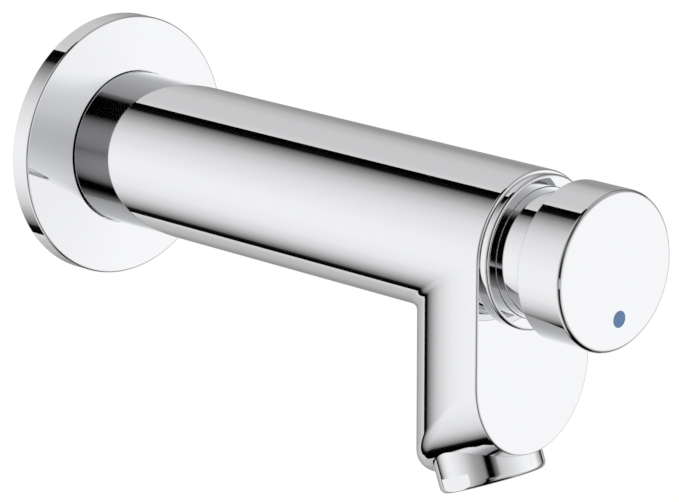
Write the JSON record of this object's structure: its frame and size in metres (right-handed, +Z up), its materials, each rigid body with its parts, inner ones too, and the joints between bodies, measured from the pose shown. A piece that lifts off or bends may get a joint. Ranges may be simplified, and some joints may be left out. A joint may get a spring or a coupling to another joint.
{
  "type": "push timed wall tap",
  "caption": "Wall-mounted self-closing tap: chromed horizontal tube with a slanted spout, a front push button, a timing cartridge, an aerator and a sliding wall rosette.",
  "frame": {"origin": "on the tube's axis, in the plane of the finished wall", "axes": "+Z up, +Y into the wall, so the tap stands out along -Y; +X is to the right of a person facing the tap"},
  "size_m": [0.0724, 0.2098, 0.105],
  "materials": {
    "chrome_plate": "polished",
    "raw_brass": "machined",
    "stainless": "satin",
    "black_rubber": "matte",
    "black_foam": "matte",
    "acetal_white": "satin",
    "acetal_grey": "satin",
    "red_fibre": "matte",
    "cold_blue": "gloss"
  },
  "bodies": {
    "tap_body": {"body_casting": "chrome_plate", "inlet_nipple": "raw_brass", "inlet_washer": "red_fibre", "inlet_strainer": "stainless", "front_ring": "chrome_plate", "sleeve_guide_ring": "acetal_white", "cartridge_barrel": "acetal_grey", "flange_gasket": "black_rubber", "barrel_o_ring": "black_rubber", "valve_seat": "raw_brass", "seat_o_ring": "black_rubber", "spindle_guide": "acetal_white", "guide_lip_seal": "black_rubber", "barrel_plug": "acetal_white", "plug_o_ring": "black_rubber", "plug_circlip": "stainless", "timing_screw": "raw_brass", "aerator_housing": "chrome_plate", "aerator_gasket": "black_rubber", "aerator_insert": "acetal_white", "flow_regulator": "acetal_grey", "aerator_screen": "stainless", "return_spring": "stainless"},
    "rosette": {"wall_rosette": "chrome_plate", "rosette_o_ring": "black_rubber", "wall_gasket": "black_foam"},
    "push_button": {"button_cap": "chrome_plate", "button_sleeve": "chrome_plate", "button_hub": "acetal_white", "cold_marker": "cold_blue", "spindle": "stainless", "spindle_nut": "stainless", "piston": "acetal_white", "piston_seal": "black_rubber", "piston_clip": "stainless", "valve_disc": "raw_brass", "valve_washer": "black_rubber", "valve_nut": "stainless"}
  },
  "joints": [
    {"name": "button_push", "type": "slide", "parent": "tap_body", "child": "push_button", "axis": [0, 1, 0], "range_m": [0, 0.008], "stiffness_N_per_m": 1500, "springref_m": -0.01, "deforming": ["return_spring"]},
    {"name": "rosette_slide", "type": "slide", "parent": "tap_body", "child": "rosette", "axis": [0, -1, 0], "range_m": [0, 0.105]}
  ]
}
